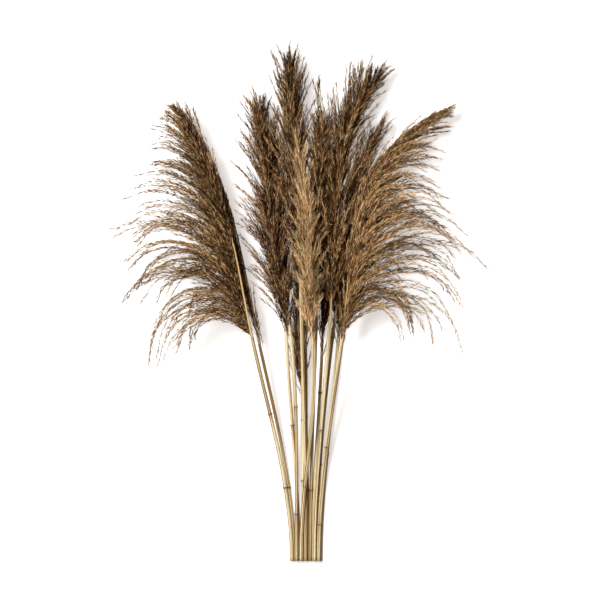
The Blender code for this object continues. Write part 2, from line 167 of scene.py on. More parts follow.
def along_path(path: Array, places: Array) -> Array:
    """Points of a path at the given distances from its start."""
    runs = run_lengths(path)
    return np.column_stack([np.interp(places, runs, path[:, axis]) for axis in range(3)])


def bell(value: "Array | float", middle: float, width: float) -> "Array | float":
    """A bell curve: 1 at its middle, and about a third of that one width away."""
    return np.exp(-(((value - middle) / width) ** 2))


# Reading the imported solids


@dataclass(frozen=True)
class Branch:
    """One side branch of a packed plume: its centre line from root to tip."""

    line: Array

    def length(self) -> float:
        """How long the branch is."""
        return float(run_lengths(self.line)[-1])


class PackedSolid:
    """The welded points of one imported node, and which of them are joined by an edge."""

    def __init__(self, node: str) -> None:
        """Read the node's mesh.

        Args:
            node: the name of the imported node.
        """
        mesh = frame["nodes"][node].data
        places = np.empty(len(mesh.vertices) * 3)
        mesh.vertices.foreach_get("co", places)
        places = places.reshape(-1, 3)
        corners = np.empty(len(mesh.loops), np.int32)
        mesh.loops.foreach_get("vertex_index", corners)
        _, first, same = np.unique(
            np.round(places / WELD).astype(np.int64), axis=0, return_index=True, return_inverse=True
        )
        self.points = places[first]
        self.near: list[set[int]] = [set() for _ in first]
        for a, b, c in same.ravel()[corners].reshape(-1, 3):
            self.near[a] |= {int(b), int(c)}
            self.near[b] |= {int(a), int(c)}
            self.near[c] |= {int(a), int(b)}

    def middle(self, ring: set[int]) -> Array:
        """The middle of a ring of points."""
        return self.points[sorted(ring)].mean(axis=0)

    def cane_rings(self, sides: int) -> tuple[Array, Array]:
        """The rings of a cane from its cut end to its top.

        Args:
            sides: how many points each ring has.

        Returns:
            The middle and the radius of each ring.
        """
        order = np.argsort(self.points[:, 1])
        rings = self.points[order].reshape(-1, sides, 3)
        middles = rings.mean(axis=1)
        return middles, np.linalg.norm(rings - middles[:, None], axis=2).mean(axis=1)

    def branch_rings(self, tip: int) -> list[set[int]]:
        """The rings of a three-sided branch.

        Args:
            tip: the number of the point at its tip.

        Returns:
            The rings from the tip to the face of the stalk that the branch grows from.
        """
        rings = [{tip}, self.near[tip]]
        while True:
            ahead = set().union(*(self.near[point] for point in rings[-1])) - rings[-1] - rings[-2]
            if len(ahead) != 3:
                return rings
            rings.append(ahead)

    def plume_lines(self) -> tuple[Array, Array, list[Branch]]:
        """The stalk and the branches of a plume.

        Returns:
            The middles of the stalk's rings from base to tip, their radii, and the branches.
        """
        least_rings = 4
        branches = []
        grown: set[int] = set()
        for tip, near in enumerate(self.near):
            if len(near) != 3:
                continue
            rings = self.branch_rings(tip)
            if len(rings) < least_rings:
                continue
            branches.append(Branch(np.array([self.middle(ring) for ring in reversed(rings)])))
            grown.update(*rings[:-1])
        stalk = set(range(len(self.points))) - grown
        ring = set(sorted(stalk, key=lambda point: self.points[point][1])[:3])
        seen = set(ring)
        middles, radii = [], []
        while ring:
            middles.append(self.middle(ring))
            radii.append(np.linalg.norm(self.points[sorted(ring)] - middles[-1], axis=1).mean())
            ring = set().union(*(self.near[point] for point in ring)) & stalk - seen
            seen |= ring
        return np.array(middles), np.array(radii), branches


# Meshes made in bulk


def in_scene(name: str, data: bpy.types.ID) -> Item:
    """A new object in the scene.

    Args:
        name: its name.
        data: its mesh, light or camera.

    Returns:
        The object.
    """
    item = bpy.data.objects.new(name, data)
    bpy.context.scene.collection.objects.link(item)
    return item


@dataclass
class MeshBatch:
    """Closed forms that are gathered in bulk and become one piece.

    Each point carries three marks. What they mean is up to the finish that reads them.
    """

    points: list[Array] = field(default_factory=list)
    faces: list[Array] = field(default_factory=list)
    marks: list[Array] = field(default_factory=list)
    grain: list[Array] = field(default_factory=list)
    count: int = 0

    def add(self, points: Array, faces: Array, marks: Array, grain: Array) -> None:
        """Take in a form.

        Args:
            points: its points.
            faces: its triangles, by the numbers of their points.
            marks: three marks for each point.
            grain: the place of each point in the grain.
        """
        self.points.append(points)
        self.faces.append(faces + self.count)
        self.marks.append(marks)
        self.grain.append(grain)
        self.count += len(points)

    def add_tube(
        self, path: Array, radii: Array, sides: int, marks: Array, seed: float, ahead: Array | None = None
    ) -> None:
        """Take in a round tube with closed ends.

        Args:
            path: its centre line.
            radii: its radius at each point of the line.
            sides: how many sides it has.
            marks: three marks for each point of the line.
            seed: moves the grain, so that no two tubes look alike.
            ahead: the heading at each point, where the line itself doesn't give it.
        """
        if ahead is None:
            ahead = unit(np.gradient(path, axis=0))
        level, upright = crosswise(ahead)
        turn = 2 * math.pi * np.arange(sides) / sides
        cosine, sine = np.cos(turn), np.sin(turn)
        ray = cosine[None, :, None] * level[:, None] + sine[None, :, None] * upright[:, None]
        rings = path[:, None] + ray * radii[:, None, None]
        rows = len(path)
        around = np.arange(sides)
        after = (around + 1) % sides
        starts = np.arange(rows - 1)[:, None] * sides
        here, beside = starts + around, starts + after
        lower = np.stack([here, beside, beside + sides], axis=2).reshape(-1, 3)
        upper = np.stack([here, beside + sides, here + sides], axis=2).reshape(-1, 3)
        top = rows * sides
        first = np.column_stack([after, around, np.full(sides, top)])
        last = np.column_stack([around + top - sides, after + top - sides, np.full(sides, top + 1)])
        runs = run_lengths(path)
        moved = seed * GRAIN_STEP
        grain = np.empty((rows, sides, 3))
        grain[..., :2] = np.column_stack([cosine, sine]) * GRAIN_WIDTH + moved
        grain[..., 2] = runs[:, None]
        ends = [[moved, moved, runs[0]], [moved, moved, runs[-1]]]
        self.add(
            np.vstack([rings.reshape(-1, 3), path[:1], path[-1:]]),
            np.vstack([lower, upper, first, last])[:, ::-1],
            np.vstack([np.repeat(marks, sides, axis=0), marks[:1], marks[-1:]]),
            np.vstack([grain.reshape(-1, 3), ends]),
        )

    def add_spindles(self, roots: Array, ahead: Array, lengths: Array, radii: Array, marks: Array) -> None:
        """Take in many closed three-sided spindles at once.

        Args:
            roots: where each starts.
            ahead: the unit direction of each.
            lengths: how long each is.
            radii: how thick each is at its belly.
            marks: the first two marks of each. The third runs from 0 at the root to 1 at the tip.
        """
        belly, roll_step, corners_each = 0.36, 2.1, 5
        level, upright = crosswise(ahead)
        roll = np.arange(len(roots)) * roll_step
        whole = ahead * lengths[:, None]
        belt = []
        for corner in range(3):
            turn = (roll + 2 * math.pi * corner / 3)[:, None]
            ray = np.cos(turn) * level + np.sin(turn) * upright
            belt.append(roots + whole * belly + ray * radii[:, None])
        points = np.stack([roots, *belt, roots + whole], axis=1).reshape(-1, 3)
        shape = np.array([[0, 1, 2], [0, 2, 3], [0, 3, 1], [4, 2, 1], [4, 3, 2], [4, 1, 3]])
        faces = (np.arange(len(roots))[:, None, None] * corners_each + shape).reshape(-1, 3)
        all_marks = np.empty((len(roots), corners_each, 3))
        all_marks[..., :2] = marks[:, None]
        all_marks[..., 2] = (0.0, belly, belly, belly, 1.0)
        self.add(points, faces, all_marks.reshape(-1, 3), points)

    def piece(self, name: str, finish: Material) -> Item:
        """Make the piece.

        Args:
            name: its name.
            finish: its material.

        Returns:
            The new object.
        """
        points = settled(np.vstack(self.points))
        faces = np.vstack(self.faces).astype(np.int32)
        mesh = bpy.data.meshes.new(name)
        mesh.vertices.add(len(points))
        mesh.vertices.foreach_set("co", points.ravel())
        mesh.loops.add(faces.size)
        mesh.loops.foreach_set("vertex_index", faces.ravel())
        mesh.polygons.add(len(faces))
        mesh.polygons.foreach_set("loop_start", np.arange(0, faces.size, 3, dtype=np.int32))
        mesh.update(calc_edges=True)
        mesh.shade_smooth()
        for title, values in (("marks", self.marks), ("grain_place", self.grain)):
            layer = mesh.attributes.new(title, "FLOAT_VECTOR", "POINT")
            layer.data.foreach_set("vector", np.vstack(values).ravel())
        mesh.materials.append(finish)
        return in_scene(name, mesh)


# Shader groups


class ShaderTree:
    """A node tree with short ways to place and join its nodes."""

    def __init__(self, tree: NodeTree) -> None:
        """Keep the node tree of a material or of a group."""
        self.tree = tree

    def feed(self, node: Node, inputs: dict[str | int, object]) -> None:
        """Join sockets to a node's inputs, or give the inputs plain values.

        Args:
            node: the node.
            inputs: sockets, numbers, scales or colours, by the name or number of the input.
        """
        for key, value in inputs.items():
            socket = node.inputs[key]
            if isinstance(value, Socket):
                self.tree.links.new(value, socket)
            else:
                socket.default_value = (*value, 1.0) if socket.type == "RGBA" else value

    def node(
        self, kind: str, inputs: dict[str | int, object] | None = None, **values: object
    ) -> Node:
        """Place a node.

        Args:
            kind: its type.
            inputs: what its inputs get.
            **values: its properties.

        Returns:
            The new node.
        """
        made = self.tree.nodes.new(kind)
        for name, value in values.items():
            setattr(made, name, value)
        self.feed(made, inputs or {})
        return made

    def group(self, shared: NodeTree, **inputs: object) -> dict[str, Socket]:
        """The outputs of a shared group that is placed with these inputs."""
        return dict(self.node("ShaderNodeGroup", inputs, node_tree=shared).outputs.items())

    def maths(self, operation: str, *values: "Socket | float") -> Socket:
        """The result of a Math node on sockets or plain numbers."""
        return self.node("ShaderNodeMath", dict(enumerate(values)), operation=operation).outputs[0]

    def plus(self, value: "Socket | float", other: Socket, weight: float) -> Socket:
        """A value with a weighted second one added to it."""
        return self.maths("ADD", value, self.maths("MULTIPLY", other, weight))

    def clamped(self, value: Socket) -> Socket:
        """A value kept between 0 and 1."""
        return self.maths("MINIMUM", self.maths("MAXIMUM", value, 0.0), 1.0)

    def ramp(self, value: Socket, low: float, high: float, kind: str = "LINEAR") -> Socket:
        """A value spread so that low gives 0 and high gives 1."""
        inputs = {"Value": value, "From Min": low, "From Max": high}
        return self.node("ShaderNodeMapRange", inputs, interpolation_type=kind).outputs[0]

    def attribute(self, name: str) -> Socket:
        """A vector that the mesh carries at each point."""
        return self.node("ShaderNodeAttribute", attribute_name=name).outputs["Vector"]

    def marks(self) -> tuple[Socket, ...]:
        """The three marks of the surface."""
        return tuple(self.node("ShaderNodeSeparateXYZ", {0: self.attribute("marks")}).outputs)

    def position(self) -> Socket:
        """Where the surface is."""
        return self.node("ShaderNodeNewGeometry").outputs["Position"]

    def noise(self, place: Socket, scale: "Socket | float", detail: float, roughness: float = 0.5) -> Socket:
        """A noise value at a place."""
        inputs = {"Vector": place, "Scale": scale, "Detail": detail, "Roughness": roughness}
        return self.node("ShaderNodeTexNoise", inputs).outputs["Fac"]

    def raise_surface(self, shader: Node, height: Socket, strength: float, step: float) -> None:
        """Give a shader a bump from a height."""
        bump = self.node("ShaderNodeBump", {"Strength": strength, "Distance": step, "Height": height})
        self.feed(shader, {"Normal": bump.outputs[0]})

    def stretched(self, place: Socket, scale: tuple[float, float, float]) -> Socket:
        """A place with each axis scaled."""
        return self.node("ShaderNodeMapping", {"Scale": scale, "Vector": place}).outputs[0]

    def between(
        self, share: "Socket | float", first: "Socket | Colour", second: "Socket | Colour", blend: str = "MIX"
    ) -> Socket:
        """Two colours mixed by a share.

        Args:
            share: how much of the second.
            first: a colour or a socket that gives one.
            second: the same.
            blend: the way they are mixed.

        Returns:
            The socket of the mixed colour.
        """
        inputs = {0: share, 6: first, 7: second}
        return self.node("ShaderNodeMix", inputs, data_type="RGBA", blend_type=blend).outputs[2]


@dataclass(frozen=True)
class EffectGroup:
    """A shader node group that several finishes share."""

    name: str
    inputs: tuple[tuple[str, str, object], ...]
    outputs: tuple[tuple[str, str], ...]

    def open(self) -> tuple[ShaderTree, dict[str, Socket], Node]:
        """Make the empty group.

        Returns:
            Its tree, its inputs by name, and the node that takes its outputs.
        """
        group = bpy.data.node_groups.new(self.name, "ShaderNodeTree")
        for name, kind, value in self.inputs:
            socket = group.interface.new_socket(name=name, in_out="INPUT", socket_type=kind)
            socket.default_value = value
        for name, kind in self.outputs:
            group.interface.new_socket(name=name, in_out="OUTPUT", socket_type=kind)
        tree = ShaderTree(group)
        entry = tree.node("NodeGroupInput")
        return tree, dict(entry.outputs.items()), tree.node("NodeGroupOutput")


FLOAT = "NodeSocketFloat"
COLOUR = "NodeSocketColor"


def make_grain_group() -> NodeTree:
    """Long plant fibres: thin streaks along a stem, with a height for the bump.

    Returns:
        The group.
    """
    inputs = (("Fineness", FLOAT, 9.0), ("Run", FLOAT, 14.0))
    tree, given, out = EffectGroup("plant_fibres", inputs, (("Streak", FLOAT), ("Height", FLOAT))).open()
    across = given["Fineness"]
    scale = tree.node("ShaderNodeCombineXYZ", {0: across, 1: across, 2: given["Run"]}).outputs[0]
    scaled = {0: tree.attribute("grain_place"), 1: scale}
    place = tree.node("ShaderNodeVectorMath", scaled, operation="MULTIPLY").outputs[0]
    broad = tree.noise(place, 1.0, 3.0)
    fine = tree.noise(tree.stretched(place, (2.6, 2.6, 1.4)), 1.0, 2.0)
    mixed = tree.plus(tree.maths("MULTIPLY", broad, 0.6), fine, 0.4)
    tree.feed(out, {"Streak": tree.ramp(mixed, 0.40, 0.60), "Height": fine})
    return tree.tree


def make_speck_group() -> NodeTree:
    """Small dark specks and blotches of age, as a mask.

    Returns:
        The group.
    """
    inputs = (("Size", FLOAT, 500.0), ("Amount", FLOAT, 0.3))
    tree, given, out = EffectGroup("age_specks", inputs, (("Mask", FLOAT),)).open()
    place = tree.stretched(tree.position(), (1.0, 0.45, 1.0))
    spots = tree.noise(place, given["Size"], detail=4.0, roughness=0.65)
    over = tree.maths("SUBTRACT", spots, tree.maths("SUBTRACT", 0.78, given["Amount"]))
    tree.feed(out, {"Mask": tree.clamped(tree.maths("MULTIPLY", over, 7.0))})
    return tree.tree


def make_husk_group() -> NodeTree:
    """The tone of a spikelet: dark at the plume's heart and lighter at its tips, which is painted shade, and
    each a little different.

    Returns:
        The group.
    """
    inputs = (
        ("Dark", COLOUR, (0.05, 0.03, 0.02, 1.0)),
        ("Middle", COLOUR, (0.25, 0.15, 0.08, 1.0)),
        ("Light", COLOUR, (0.55, 0.40, 0.25, 1.0)),
        ("Silk", COLOUR, (0.60, 0.50, 0.40, 1.0)),
        ("Lightness", FLOAT, 0.0),
    )
    tree, given, out = EffectGroup("husk_tone", inputs, (("Color", COLOUR), ("Tone", FLOAT))).open()
    reach, chance, tip = tree.marks()
    place = tree.position()
    cloud = tree.maths("SUBTRACT", tree.noise(place, 34.0, 2.0), 0.5)
    # Painted shade: the first mark makes the spikelets deep in the plume darker and those at its outer tips
    # lighter.
    tone = tree.maths("MULTIPLY", reach, 0.42)
    for value, weight in ((chance, 0.74), (tip, 0.12), (cloud, 0.4)):
        tone = tree.plus(tone, value, weight)
    tone = tree.maths("ADD", tone, tree.maths("SUBTRACT", given["Lightness"], 0.05))
    lower = tree.between(tree.ramp(tone, 0.15, 0.56, "SMOOTHSTEP"), given["Dark"], given["Middle"])
    shade = tree.between(tree.ramp(tone, 0.56, 0.92, "SMOOTHSTEP"), lower, given["Light"])
    warmer = tree.between(1.0, shade, (1.10, 0.95, 0.84), "MULTIPLY")
    cooler = tree.between(1.0, shade, (0.97, 1.0, 0.93), "MULTIPLY")
    shade = tree.between(tree.ramp(tree.noise(place, 75.0, 2.0), 0.35, 0.65), cooler, warmer)
    silk = tree.ramp(chance, 1.3, 1.5)
    tree.feed(out, {"Color": tree.between(silk, shade, given["Silk"]), "Tone": tone})
    return tree.tree


@dataclass(frozen=True)
class Effects:
    """The shader groups that the finishes share, made once."""

    fibres: NodeTree
    specks: NodeTree
    husk: NodeTree

    @classmethod
    def make(cls) -> "Effects":
        """Make all groups."""
        return cls(make_grain_group(), make_speck_group(), make_husk_group())


# Finishes


def new_material(name: str) -> tuple[Material, ShaderTree, Node]:
    """An empty material.

    Args:
        name: its name.

    Returns:
        The material, its tree and its Principled shader.
    """
    material = bpy.data.materials.new(name)
    material.use_nodes = True
    return material, ShaderTree(material.node_tree), material.node_tree.nodes["Principled BSDF"]


@dataclass(frozen=True)
class CaneFinish:
    """Dry, slightly glossy cane skin: pale straw with tan fibres, dark joint rings and specks, with painted
    shade that darkens its sides where they turn away from the eye.
    """

    name: str
    pale: Colour
    tan: Colour
    joint: Colour
    pith: Colour
    side_shade: Colour
    streaks: float = 1.7
    least_streak: float = 0.43
    side_shade_power: float = 2.2
    roughness: float = 0.40
    bump: float = 0.5

    def make(self, effects: Effects) -> Material:
        """Make the material.

        Its marks are the joint ring, how tan the cane is there, and the cut end. Deep in the hollow of the
        cut end the joint ring mark also darkens the surface as painted shade.

        Args:
            effects: the shared shader groups.

        Returns:
            The new material.
        """
        material, tree, shader = new_material(self.name)
        ring, tan, cut = tree.marks()
        fibres = tree.group(effects.fibres, Fineness=3.4, Run=2.5)
        specks = tree.group(effects.specks, Size=420.0, Amount=0.19)
        facing = tree.node("ShaderNodeLayerWeight", {"Blend": 0.45}).outputs["Facing"]
        share = tree.maths("SUBTRACT", tree.plus(tan, fibres["Streak"], self.streaks), self.least_streak)
        skin = tree.between(tree.clamped(share), self.pale, self.tan)
        # Painted shade: where the cane's sides turn away from the eye they are mixed towards a dark brown.
        skin = tree.between(tree.maths("POWER", facing, self.side_shade_power), skin, self.side_shade)
        for mask, most, colour in (
            (specks["Mask"], 0.5, self.joint),
            (ring, 0.92, self.joint),
            (cut, 0.75, self.pith),
        ):
            skin = tree.between(tree.maths("MULTIPLY", mask, most), skin, colour)
        rough = tree.plus(self.roughness, fibres["Streak"], 0.24)
        tree.feed(shader, {"Base Color": skin, "Roughness": rough, "Specular IOR Level": 0.3})
        tree.raise_surface(shader, fibres["Height"], self.bump, 0.25 * MM)
        return material


@dataclass(frozen=True)
class StalkFinish:
    """The plume's stalk and the threads of its branches: straw at the base, browner towards the tips."""

    name: str
    base: Colour
    tip: Colour
    roughness: float = 0.6

    def make(self, effects: Effects) -> Material:
        """Make the material.

        Its marks are how far towards the tip, chance, and one that it doesn't use.

        Args:
            effects: the shared shader groups.

        Returns:
            The new material.
        """
        material, tree, shader = new_material(self.name)
        reach, chance, _ = tree.marks()
        fibres = tree.group(effects.fibres, Fineness=6.0, Run=12.0)
        share = tree.plus(reach, tree.maths("SUBTRACT", chance, 0.5), 0.4)
        share = tree.plus(share, tree.maths("SUBTRACT", fibres["Streak"], 0.5), 0.45)
        colour = tree.between(tree.clamped(share), self.base, self.tip)
        rough = tree.plus(self.roughness, fibres["Streak"], 0.2)
        tree.feed(shader, {"Base Color": colour, "Roughness": rough, "Specular IOR Level": 0.3})
        tree.raise_surface(shader, fibres["Height"], 0.3, 0.2 * MM)
        return material


@dataclass(frozen=True)
class HuskFinish:
    """Dry spikelets with silky hairs, in one plume's colours."""

    name: str
    dark: Colour
    middle: Colour
    light: Colour
    silk: Colour
    lightness: float = 0.0

    def make(self, effects: Effects) -> Material:
        """Make the material.

        Its marks are the reach along the branch and out of the plume's body, which paints shade deep in the
        plume, chance, and the place along the spikelet.

        Args:
            effects: the shared shader groups.

        Returns:
            The new material.
        """
        material, tree, shader = new_material(self.name)
        husk = tree.group(
            effects.husk,
            Dark=self.dark,
            Middle=self.middle,
            Light=self.light,
            Silk=self.silk,
            Lightness=self.lightness,
        )
        rough = tree.maths("SUBTRACT", 0.86, tree.maths("MULTIPLY", husk["Tone"], 0.26))
        tree.feed(shader, {"Base Color": husk["Color"], "Roughness": rough, "Specular IOR Level": 0.08})
        return material


@dataclass(frozen=True)
class FloorFinish:
    """A plain white surface that looks a little brighter to the eye than the light it gives back."""

    name: str = "white_surface"
    colour: Colour = (0.60, 0.62, 0.63)
    faint: float = 0.01
    lift: float = 0.62
    lift_colour: Colour = (1.0, 0.94, 0.90)

    def make(self) -> Material:
        """Make the material, with the faintest mottling.

        Returns:
            The new material.
        """
        material, tree, shader = new_material(self.name)
        paler = tuple(min(1.0, value + self.faint) for value in self.colour)
        seen = tree.node("ShaderNodeLightPath").outputs["Is Camera Ray"]
        inputs = {
            "Base Color": tree.between(tree.noise(tree.position(), 3.0, 2.0), self.colour, paler),
            "Roughness": 0.9,
            "Specular IOR Level": 0.1,
            "Emission Color": self.lift_colour,
            "Emission Strength": tree.maths("MULTIPLY", seen, self.lift),
        }
        tree.feed(shader, inputs)
        return material


# The reeds


@dataclass
class Cane:
    """A jointed cane: round, with a ridge and a dark band at each joint and a hollow cut end."""

    number: int
    tan: float
    sides: int = 16
    step: float = 7 * MM
    wall: float = 0.9 * MM
    hollow: float = 16 * MM
    ridge: float = 0.35 * MM
    swell: float = 0.45 * MM
    packed_sides: int = 6
    packed_swell: float = 1.05
    slimness: float = 0.94
    detail: int = 12
    joint_room: float = 7.5 * MM
    near_joint: tuple[float, ...] = (-6, -4, -2.8, -1.8, -1.1, -0.5, 0, 0.4, 0.8, 1.3, 2.0, 3.0, 4.5, 6.5)
    waver: Pair = (0.012, 61.0)
    tan_spread: float = 0.13
    tan_waver: Pair = (0.08, 23.0)
    swell_width: float = 2.6
    ridge_at: Pair = (0.6, 0.6)
    band_at: Pair = (0.4, 0.95)
    tan_below: Pair = (0.32, 14.0)
    tan_above: Pair = (0.22, 9.0)

    def read(self) -> tuple[Array, Array, float, Array]:
        """The cane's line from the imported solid.

        Returns:
            The ring middles, the plain radii, the plain radius, and how far along each joint is.
        """
        middles, radii = PackedSolid(f"culm_{self.number:02d}").cane_rings(self.packed_sides)
        plain = float(np.median(radii))
        swollen = radii > plain * self.packed_swell
        radii = np.where(swollen, plain, radii) * self.slimness
        return middles, radii, plain * self.slimness, run_lengths(middles)[swollen]

    def stations(self, length: float, joints: Array) -> Array:
        """How far along the cane its rings are, close together near a joint.

        Args:
            length: how long the cane is.
            joints: how far along each joint is.

        Returns:
            The distances from the cut end.
        """
        plain = np.arange(0.0, length, self.step)
        for joint in joints:
            plain = plain[np.abs(plain - joint) > self.joint_room]
        near = (joints[:, None] + np.array(self.near_joint)[None] * MM).ravel()
        return np.unique(np.concatenate([plain, near[(near > 0) & (near < length)], [length]]))

    def build(self, finish: Material, draw: Draw) -> Item:
        """Build the cane.

        Args:
            finish: its material.
            draw: the source of chance.

        Returns:
            The cane's piece.
        """
        middles, plain_radii, plain, joints = self.read()
        line = smooth_line(middles, self.detail * len(middles))
        places = self.stations(run_lengths(line)[-1], joints)
        path = along_path(line, places)
        radii = np.interp(places, run_lengths(middles), plain_radii)
        most, turns = self.waver
        radii = radii * (1 + most * np.sin(places * turns + self.number))
        ring = np.zeros(len(places))
        tan = self.tan + draw.normal(0, self.tan_spread, len(joints) + 1)[np.searchsorted(joints, places)]
        most, turns = self.tan_waver
        tan += most * np.sin(places * turns + self.number)
        for joint in joints:
            offset = (places - joint) / MM
            swollen = self.swell * bell(offset, 0, self.swell_width)
            radii += swollen + self.ridge * bell(offset, *self.ridge_at)
            ring = np.maximum(ring, bell(offset, *self.band_at))
            (below, below_fade), (above, above_fade) = self.tan_below, self.tan_above
            below_joint = below * np.exp(offset / below_fade)
            above_joint = above * np.exp(-offset / above_fade)
            tan += np.where(offset < 0, below_joint, above_joint)
        marks = np.column_stack([ring, tan, np.zeros(len(places))])
        inner = plain - self.wall
        # The mouth, from deep in the hollow out to the rim. Its first marks paint shade that darkens the
        # hollow deeper in.
        mouth = along_path(line, np.array([1.0, 0.25, 0.0, 0.0]) * self.hollow)
        mouth_radii = np.array([inner * 0.9, inner * 0.97, inner, plain * 0.97])
        mouth_marks = np.column_stack([[0.8, 0.35, 0.0, 0.0], [tan[0]] * 4, [0.7, 0.9, 1.0, 0.35]])
        ahead = unit(np.gradient(path, axis=0))
        batch = MeshBatch()
        batch.add_tube(
            np.vstack([mouth, path]),
            np.concatenate([mouth_radii, radii]),
            self.sides,
            np.vstack([mouth_marks, marks]),
            draw.uniform(0, 9),
            np.vstack([np.repeat(ahead[:1], len(mouth), axis=0), ahead]),
        )
        return batch.piece(f"cane_{self.number:02d}", finish)


@dataclass(frozen=True)
class Growth:
    """How a plume's strands are laid and clothed."""

    companions: int
    body: int
    cloak: int
    spread: float
    spacing: float
    long: float
    thick: float
    fan: float = 1.0
    core: float = -0.15
    cloaked_from: float = 0.04
    tuft: int = 0
    tuft_side: float = 0.0
    tuft_opening: float = 25.0
    tuft_from: Pair = (0.3, 0.86)
    low_drop: float = 0.0
    tip_fan: float = 1.0
    gather: float = 0.0
    raised: float = 0.0
    raised_at: Pair = (0.42, 0.2)
    lowest: float = 0.0
    lowest_to: float = 0.12
    sway: tuple[float, ...] = (0.0, 0.0, 0.0, 0.0, 0.0)
    beyond: float = 20 * MM
    dim_top: float = 0.0
    opening: Pair = (4.0, 13.0)
    foot_opening: float = 8.0
    shade: float = 0.0
    under: float = 0.0
    lock: float = 0.05
    shortest: float = 0.5
    gain: float = 0.0
    lean: Pair = (3.0, 9.0)
    outer_lean: float = 13.0
    hairs: float = 0.4
    pale_share: float = 0.28


@dataclass(frozen=True)
class Strand:
    """A thread that carries spikelets, how light it is, and how far out of the plume's body it lies."""

    line: Array
    light: float
    out: float


@dataclass
class Plume:
    """A plume: its stalk, its strands, and the spikelets and hairs that clothe them.

    The fields with a default hold for every plume. Lengths that chance draws from are in millimetres,
    and turns are in degrees.
    """

    number: int
    growth: Growth
    stalk_sides: int = 8
    thread_sides: int = 3
    thread: float = 0.34 * MM
    thread_taper: float = 0.6
    thread_points: tuple[int, int] = (3, 8)
    turn_each: float = 14.0
    bare: float = 0.04
    base_share: float = 0.62
    most_thick: float = 1.5 * MM
    base_fade: float = 14 * MM
    tuck: float = 3 * MM
    branch_points: int = 24
    strand_points: int = 12
    short_points: int = 9
    lock_height: Pair = (15.0, 29.0)
    lock_curve: float = 1.6
    tip_room: float = 16 * MM
    closing_at: Pair = (0.42, 0.4)
    gain_at: Pair = (0.5, 0.2)
    under_near: float = 6 * MM
    under_to: Pair = (0.46, 0.1)
    beside_out: Pair = (0.82, 1.06)
    body_out: Pair = (0.05, 0.85)
    body_share: Pair = (0.45, 0.92)
    wander_curve: float = 1.3
    sag: float = 0.65
    low_part: float = 60 * MM
    slide: float = 7.0
    tone_spread: float = 0.22
    cloak_length: Pair = (40.0, 68.0)
    cloak_taper: float = 0.6
    cloak_top: float = 0.97
    cloak_curve: float = 1.2
    cloak_lift: float = 0.8 * MM
    foot_fade: float = 0.1
    tuft_length: Pair = (52.0, 90.0)
    tuft_room: float = 6 * MM
    hair_lean: Pair = (8.0, 34.0)
    hair_size: Pair = (0.8, 0.62)
    husk_long: Pair = (0.6, 1.2)
    husk_thick: Pair = (0.6, 1.1)
    foothold: float = 1.1
    pale_tones: Pair = (0.72, 1.0)
    plain_tones: Pair = (0.0, 0.52)
    least_tone: float = 0.3
    lock_tone: float = 0.4
    silk_share: float = 0.35
    silk_mark: float = 2.0
    branches: list[Branch] = field(init=False)
    stalk_line: Array = field(init=False)
    base_radius: float = field(init=False)
    whole: float = field(init=False)
    ahead: Array = field(init=False)

    def __post_init__(self) -> None:
        """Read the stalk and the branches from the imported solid."""
        middles, radii, self.branches = PackedSolid(f"plume_{self.number:02d}").plume_lines()
        self.stalk_line = smooth_line(middles, 3 * len(middles))
        self.base_radius = float(radii[0])
        self.whole = float(run_lengths(self.stalk_line)[-1])
        self.ahead = unit(self.stalk_line[-1:] - self.stalk_line[:1])[0]

    def stalk_from(self, root: Array, runs: Array) -> Array:
        """Where the stalk leads from the place that is nearest to a root.

        Args:
            root: the root of a branch.
            runs: distances along the stalk from there.

        Returns:
            The way from that place, one row for each distance. Past its tip the stalk goes straight on.
        """
        nearest = int(np.argmin(np.linalg.norm(self.stalk_line - root, axis=1)))
        reach = run_lengths(self.stalk_line)
        places = reach[nearest] + runs
        most = self.growth.beyond
        beyond = most * np.tanh(np.maximum(places - reach[-1], 0)[:, None] / most)
        end = unit(self.stalk_line[-1:] - self.stalk_line[-5:-4])
        way = along_path(self.stalk_line, np.minimum(places, reach[-1]))
        return way + beyond * end - self.stalk_line[nearest]

    def gathered(self, draw: Draw) -> list[Array]:
        """The branches as smooth lines, drawn together into locks towards their tips.

        Args:
            draw: the source of chance.

        Returns:
            One line for each branch.
        """
        growth = self.growth
        lines = [smooth_line(branch.line, self.branch_points) for branch in self.branches]
        tips = np.array([line[-1] @ self.ahead for line in lines])
        edges = [float(tips.min())]
        while edges[-1] < tips.max():
            edges.append(edges[-1] + draw.uniform(*self.lock_height) * MM)
        lock = np.searchsorted(edges, tips)
        reach = np.linspace(0, 1, self.branch_points)[:, None]
        for index, line in enumerate(lines):
            shift = (tips[lock == lock[index]].mean() - tips[index]) * growth.gather
            level = (tips[index] - tips.min()) / max(float(np.ptp(tips)), MM)
            shift += growth.raised * bell(level, *growth.raised_at)
            shift += growth.lowest * bell(level, 0, growth.lowest_to)
            lines[index] = line + self.ahead * shift * reach**self.lock_curve
        return lines

    def eased(self, line: Array) -> Array:
        """Sway a strand, and let it pass under the lower part of the stalk where that stays in sight.

        Args:
            line: the strand's line.

        Returns:
            The new line.
        """
        growth = self.growth
        gaps = np.linalg.norm(line[:, None, :2] - self.stalk_line[None, :, :2], axis=2)
        nearest = gaps.argmin(axis=1)
        share = nearest / len(self.stalk_line)
        line = line.copy()
        line[:, 0] += np.interp(share, np.linspace(0, 1, len(growth.sway)), growth.sway) * MM
        if growth.under:
            last, fade = self.under_to
            weight = bell(gaps.min(axis=1), 0, self.under_near) * np.clip((last - share) / fade, 0, 1)
            over = line[:, 2] - (self.stalk_line[nearest, 2] - growth.under)
            line[:, 2] -= weight * np.maximum(over, 0)
        return line

